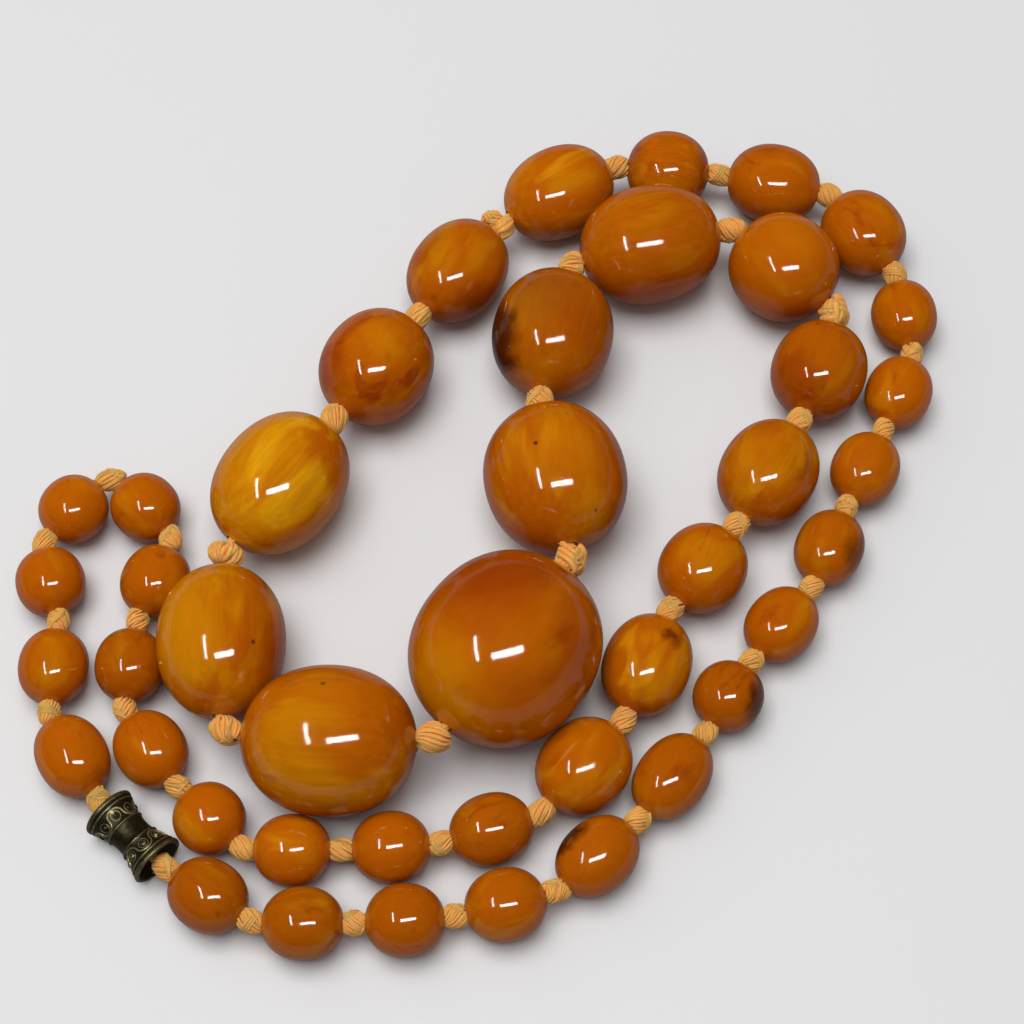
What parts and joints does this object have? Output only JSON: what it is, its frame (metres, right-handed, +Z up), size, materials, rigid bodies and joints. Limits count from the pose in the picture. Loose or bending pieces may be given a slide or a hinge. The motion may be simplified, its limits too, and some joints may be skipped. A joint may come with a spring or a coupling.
{
  "type": "prayer beads",
  "caption": "Graduated oval amber-coloured prayer beads, knotted one by one on an orange cord and closed at a bronze spool bead, lying flat as a folded crescent.",
  "frame": {"origin": "on the table, under the centre of the whole strand's bounding box", "axes": "+X to the right along the strand's widest extent, +Y away from the lower run of small beads, +Z up from the table"},
  "size_m": [0.1614, 0.156, 0.0305],
  "materials": {
    "amber": "polished marbled butterscotch amber resin",
    "cord": "loosely twisted multi-ply silk cord",
    "bronze": "antiqued bronze with bright worn edges"
  },
  "bodies": {
    "strand": {"cord_main": "cord"},
    "link_10": {"cord_link_10": "cord"},
    "link_09": {"cord_link_09": "cord"},
    "link_08": {"cord_link_08": "cord"},
    "link_07": {"cord_link_07": "cord"},
    "link_06": {"cord_link_06": "cord"},
    "link_05": {"cord_link_05": "cord"},
    "link_04": {"cord_link_04": "cord"},
    "link_03": {"cord_link_03": "cord"},
    "link_02": {"cord_link_02": "cord"},
    "link_01": {"cord_link_01": "cord"},
    "link_40": {"cord_link_40": "cord"},
    "link_41": {"cord_link_41": "cord"},
    "link_42": {"cord_link_42": "cord"},
    "link_43": {"cord_link_43": "cord"},
    "link_spool": {"cord_link_spool": "cord"},
    "bead_01": {"bead_01": "amber"},
    "bead_02": {"bead_02": "amber"},
    "bead_03": {"bead_03": "amber"},
    "bead_04": {"bead_04": "amber"},
    "bead_05": {"bead_05": "amber"},
    "bead_06": {"bead_06": "amber"},
    "bead_07": {"bead_07": "amber"},
    "bead_08": {"bead_08": "amber"},
    "bead_09": {"bead_09": "amber"},
    "bead_10": {"bead_10": "amber"},
    "bead_11": {"bead_11": "amber"},
    "bead_12": {"bead_12": "amber"},
    "bead_13": {"bead_13": "amber"},
    "bead_14": {"bead_14": "amber"},
    "bead_15": {"bead_15": "amber"},
    "bead_16": {"bead_16": "amber"},
    "bead_17": {"bead_17": "amber"},
    "bead_18": {"bead_18": "amber"},
    "bead_19": {"bead_19": "amber"},
    "bead_20": {"bead_20": "amber"},
    "bead_21": {"bead_21": "amber"},
    "bead_22": {"bead_22": "amber"},
    "bead_23": {"bead_23": "amber"},
    "bead_24": {"bead_24": "amber"},
    "bead_25": {"bead_25": "amber"},
    "bead_26": {"bead_26": "amber"},
    "bead_27": {"bead_27": "amber"},
    "bead_28": {"bead_28": "amber"},
    "bead_29": {"bead_29": "amber"},
    "bead_30": {"bead_30": "amber"},
    "bead_31": {"bead_31": "amber"},
    "bead_32": {"bead_32": "amber"},
    "bead_33": {"bead_33": "amber"},
    "bead_34": {"bead_34": "amber"},
    "bead_35": {"bead_35": "amber"},
    "bead_36": {"bead_36": "amber"},
    "bead_37": {"bead_37": "amber"},
    "bead_38": {"bead_38": "amber"},
    "bead_39": {"bead_39": "amber"},
    "bead_40": {"bead_40": "amber"},
    "bead_41": {"bead_41": "amber"},
    "bead_42": {"bead_42": "amber"},
    "bead_43": {"bead_43": "amber"},
    "spool": {"spool_bead": "bronze"}
  },
  "joints": [
    {"name": "bend_11_10", "type": "hinge", "parent": "strand", "child": "link_10", "pos_m": [0.06936, 0.01639, 0.00585], "axis": [0, 0, 1], "range_deg": [0, 30]},
    {"name": "bend_10_09", "type": "hinge", "parent": "link_10", "child": "link_09", "pos_m": [0.06186, 0.00139, 0.00585], "axis": [0, 0, 1], "range_deg": [0, 30]},
    {"name": "bend_09_08", "type": "hinge", "parent": "link_09", "child": "link_08", "pos_m": [0.05486, -0.01411, 0.00585], "axis": [0, 0, 1], "range_deg": [0, 30]},
    {"name": "bend_08_07", "type": "hinge", "parent": "link_08", "child": "link_07", "pos_m": [0.04386, -0.02711, 0.00585], "axis": [0, 0, 1], "range_deg": [0, 30]},
    {"name": "bend_07_06", "type": "hinge", "parent": "link_07", "child": "link_06", "pos_m": [0.03586, -0.04011, 0.00585], "axis": [0, 0, 1], "range_deg": [0, 30]},
    {"name": "bend_06_05", "type": "hinge", "parent": "link_06", "child": "link_05", "pos_m": [0.02436, -0.05511, 0.00585], "axis": [0, 0, 1], "range_deg": [0, 30]},
    {"name": "bend_05_04", "type": "hinge", "parent": "link_05", "child": "link_04", "pos_m": [0.01086, -0.06711, 0.00585], "axis": [0, 0, 1], "range_deg": [0, 30]},
    {"name": "bend_04_03", "type": "hinge", "parent": "link_04", "child": "link_03", "pos_m": [-0.00514, -0.07111, 0.00585], "axis": [0, 0, 1], "range_deg": [0, 30]},
    {"name": "bend_03_02", "type": "hinge", "parent": "link_03", "child": "link_02", "pos_m": [-0.02114, -0.07211, 0.00585], "axis": [0, 0, 1], "range_deg": [0, 30]},
    {"name": "bend_02_01", "type": "hinge", "parent": "link_02", "child": "link_01", "pos_m": [-0.03764, -0.07211, 0.006], "axis": [0, 0, 1], "range_deg": [0, 30]},
    {"name": "bend_01_spool", "type": "hinge", "parent": "link_01", "child": "link_spool", "pos_m": [-0.0518, -0.06295, 0.00507], "axis": [0, 0, 1], "range_deg": [0, 30]},
    {"name": "bend_39_40", "type": "hinge", "parent": "strand", "child": "link_40", "pos_m": [-0.06614, 0.00839, 0.00585], "axis": [0, 0, 1], "range_deg": [-30, 0]},
    {"name": "bend_40_41", "type": "hinge", "parent": "link_40", "child": "link_41", "pos_m": [-0.07714, -0.00511, 0.00585], "axis": [0, 0, 1], "range_deg": [-30, 0]},
    {"name": "bend_41_42", "type": "hinge", "parent": "link_41", "child": "link_42", "pos_m": [-0.07264, -0.02011, 0.00585], "axis": [0, 0, 1], "range_deg": [-30, 0]},
    {"name": "bend_42_43", "type": "hinge", "parent": "link_42", "child": "link_43", "pos_m": [-0.07314, -0.03661, 0.006], "axis": [0, 0, 1], "range_deg": [-30, 0]},
    {"name": "spin_01", "type": "hinge", "parent": "link_01", "child": "bead_01", "pos_m": [-0.04467, -0.06759, 0.00585], "axis": [0.8406, -0.5404, 0.0375], "continuous": true},
    {"name": "spin_02", "type": "hinge", "parent": "link_02", "child": "bead_02", "pos_m": [-0.02936, -0.07211, 0.00585], "axis": [1, 0, 0], "continuous": true},
    {"name": "spin_03", "type": "hinge", "parent": "link_03", "child": "bead_03", "pos_m": [-0.01314, -0.07161, 0.00585], "axis": [0.9981, 0.0624, 0], "continuous": true},
    {"name": "spin_04", "type": "hinge", "parent": "link_04", "child": "bead_04", "pos_m": [0.00284, -0.06912, 0.00585], "axis": [0.9701, 0.2425, 0], "continuous": true},
    {"name": "spin_05", "type": "hinge", "parent": "link_05", "child": "bead_05", "pos_m": [0.01762, -0.0611, 0.00585], "axis": [0.7474, 0.6644, 0], "continuous": true},
    {"name": "spin_06", "type": "hinge", "parent": "link_06", "child": "bead_06", "pos_m": [0.03011, -0.04761, 0.00585], "axis": [0.6084, 0.7936, 0], "continuous": true},
    {"name": "spin_07", "type": "hinge", "parent": "link_07", "child": "bead_07", "pos_m": [0.03986, -0.03361, 0.00585], "axis": [0.5241, 0.8517, 0], "continuous": true},
    {"name": "spin_08", "type": "hinge", "parent": "link_08", "child": "bead_08", "pos_m": [0.04936, -0.02061, 0.00585], "axis": [0.6459, 0.7634, 0], "continuous": true},
    {"name": "spin_09", "type": "hinge", "parent": "link_09", "child": "bead_09", "pos_m": [0.05836, -0.00636, 0.00585], "axis": [0.4116, 0.9114, 0], "continuous": true},
    {"name": "spin_10", "type": "hinge", "parent": "link_10", "child": "bead_10", "pos_m": [0.06561, 0.00889, 0.00585], "axis": [0.4472, 0.8944, 0], "continuous": true},
    {"name": "spin_11", "type": "hinge", "parent": "strand", "child": "bead_11", "pos_m": [0.0726, 0.02412, 0.00585], "axis": [0.3867, 0.9222, 0], "continuous": true},
    {"name": "spin_12", "type": "hinge", "parent": "strand", "child": "bead_12", "pos_m": [0.07486, 0.0401, 0.00584], "axis": [-0.1202, 0.9917, 0.0451], "continuous": true},
    {"name": "spin_13", "type": "hinge", "parent": "strand", "child": "bead_13", "pos_m": [0.06842, 0.05679, 0.00734], "axis": [-0.5429, 0.839, 0.037], "continuous": true},
    {"name": "spin_14", "type": "hinge", "parent": "strand", "child": "bead_14", "pos_m": [0.05252, 0.06766, 0.00735], "axis": [-0.9767, 0.2144, 0], "continuous": true},
    {"name": "spin_15", "type": "hinge", "parent": "strand", "child": "bead_15", "pos_m": [0.03293, 0.07063, 0.00735], "axis": [-0.9965, 0.0787, 0.0275], "continuous": true},
    {"name": "spin_16", "type": "hinge", "parent": "strand", "child": "bead_16", "pos_m": [0.01255, 0.065, 0.0084], "axis": [-0.8607, -0.5086, 0.0205], "continuous": true},
    {"name": "spin_17", "type": "hinge", "parent": "strand", "child": "bead_17", "pos_m": [-0.006, 0.04798, 0.0084], "axis": [-0.5773, -0.8161, 0.0269], "continuous": true},
    {"name": "spin_18", "type": "hinge", "parent": "strand", "child": "bead_18", "pos_m": [-0.0201, 0.0272, 0.00974], "axis": [-0.5451, -0.8371, 0.0457], "continuous": true},
    {"name": "spin_19", "type": "hinge", "parent": "strand", "child": "bead_19", "pos_m": [-0.03594, 0.00368, 0.01075], "axis": [-0.5691, -0.8221, 0.0158], "continuous": true},
    {"name": "spin_20", "type": "hinge", "parent": "strand", "child": "bead_20", "pos_m": [-0.04441, -0.02572, 0.01075], "axis": [0.0454, -0.9987, 0.0227], "continuous": true},
    {"name": "spin_21", "type": "hinge", "parent": "strand", "child": "bead_21", "pos_m": [-0.02575, -0.04373, 0.01223], "axis": [0.996, -0.0623, 0.0637], "continuous": true},
    {"name": "spin_22", "type": "hinge", "parent": "strand", "child": "bead_22", "pos_m": [0.00284, -0.02888, 0.01525], "axis": [0.5779, 0.8161, 0], "continuous": true},
    {"name": "spin_23", "type": "hinge", "parent": "strand", "child": "bead_23", "pos_m": [0.01125, 0.00394, 0.01222], "axis": [-0.1839, 0.9805, -0.0689], "continuous": true},
    {"name": "spin_24", "type": "hinge", "parent": "strand", "child": "bead_24", "pos_m": [0.01107, 0.03342, 0.01075], "axis": [0.1894, 0.9816, -0.0258], "continuous": true},
    {"name": "spin_25", "type": "hinge", "parent": "strand", "child": "bead_25", "pos_m": [0.02895, 0.05216, 0.01075], "axis": [0.962, 0.2726, -0.016], "continuous": true},
    {"name": "spin_26", "type": "hinge", "parent": "strand", "child": "bead_26", "pos_m": [0.0531, 0.04788, 0.00974], "axis": [0.7348, -0.6768, -0.0454], "continuous": true},
    {"name": "spin_27", "type": "hinge", "parent": "strand", "child": "bead_27", "pos_m": [0.05836, 0.02725, 0.0084], "axis": [-0.3603, -0.9324, -0.0286], "continuous": true},
    {"name": "spin_28", "type": "hinge", "parent": "strand", "child": "bead_28", "pos_m": [0.04834, 0.00686, 0.0084], "axis": [-0.5144, -0.8573, -0.0225], "continuous": true},
    {"name": "spin_29", "type": "hinge", "parent": "strand", "child": "bead_29", "pos_m": [0.03634, -0.01088, 0.00735], "axis": [-0.612, -0.7904, -0.0268], "continuous": true},
    {"name": "spin_30", "type": "hinge", "parent": "strand", "child": "bead_30", "pos_m": [0.02636, -0.02861, 0.00735], "axis": [-0.3714, -0.9285, 0], "continuous": true},
    {"name": "spin_31", "type": "hinge", "parent": "strand", "child": "bead_31", "pos_m": [0.0156, -0.04638, 0.00735], "axis": [-0.6563, -0.7536, -0.0365], "continuous": true},
    {"name": "spin_32", "type": "hinge", "parent": "strand", "child": "bead_32", "pos_m": [0.00054, -0.05663, 0.00584], "axis": [-0.9561, -0.2897, -0.0435], "continuous": true},
    {"name": "spin_33", "type": "hinge", "parent": "strand", "child": "bead_33", "pos_m": [-0.01564, -0.05961, 0.00585], "axis": [-0.9981, -0.0624, 0], "continuous": true},
    {"name": "spin_34", "type": "hinge", "parent": "strand", "child": "bead_34", "pos_m": [-0.03156, -0.06011, 0.00585], "axis": [-1, 0, 0], "continuous": true},
    {"name": "spin_35", "type": "hinge", "parent": "strand", "child": "bead_35", "pos_m": [-0.0452, -0.05481, 0.00585], "axis": [-0.7234, 0.6905, 0], "continuous": true},
    {"name": "spin_36", "type": "hinge", "parent": "strand", "child": "bead_36", "pos_m": [-0.05561, -0.04291, 0.00585], "axis": [-0.5952, 0.8036, 0], "continuous": true},
    {"name": "spin_37", "type": "hinge", "parent": "strand", "child": "bead_37", "pos_m": [-0.06014, -0.02805, 0.00585], "axis": [0.0624, 0.9981, 0], "continuous": true},
    {"name": "spin_38", "type": "hinge", "parent": "strand", "child": "bead_38", "pos_m": [-0.05697, -0.01257, 0.00585], "axis": [0.3344, 0.9424, 0], "continuous": true},
    {"name": "spin_39", "type": "hinge", "parent": "strand", "child": "bead_39", "pos_m": [-0.05969, 0.0014, 0.00585], "axis": [-0.6783, 0.7348, 0], "continuous": true},
    {"name": "spin_40", "type": "hinge", "parent": "link_40", "child": "bead_40", "pos_m": [-0.0721, 0.00107, 0.00585], "axis": [-0.6317, -0.7752, 0], "continuous": true},
    {"name": "spin_41", "type": "hinge", "parent": "link_41", "child": "bead_41", "pos_m": [-0.07485, -0.01276, 0.00585], "axis": [0.2873, -0.9578, 0], "continuous": true},
    {"name": "spin_42", "type": "hinge", "parent": "link_42", "child": "bead_42", "pos_m": [-0.07289, -0.02833, 0.00585], "axis": [-0.0303, -0.9995, 0], "continuous": true},
    {"name": "spin_43", "type": "hinge", "parent": "link_43", "child": "bead_43", "pos_m": [-0.06837, -0.04414, 0.00585], "axis": [0.5347, -0.8443, -0.0352], "continuous": true},
    {"name": "spin_spool", "type": "hinge", "parent": "link_spool", "child": "spool", "pos_m": [-0.05764, -0.05736, 0.0046], "axis": [0.722, -0.6919, 0], "continuous": true}
  ]
}
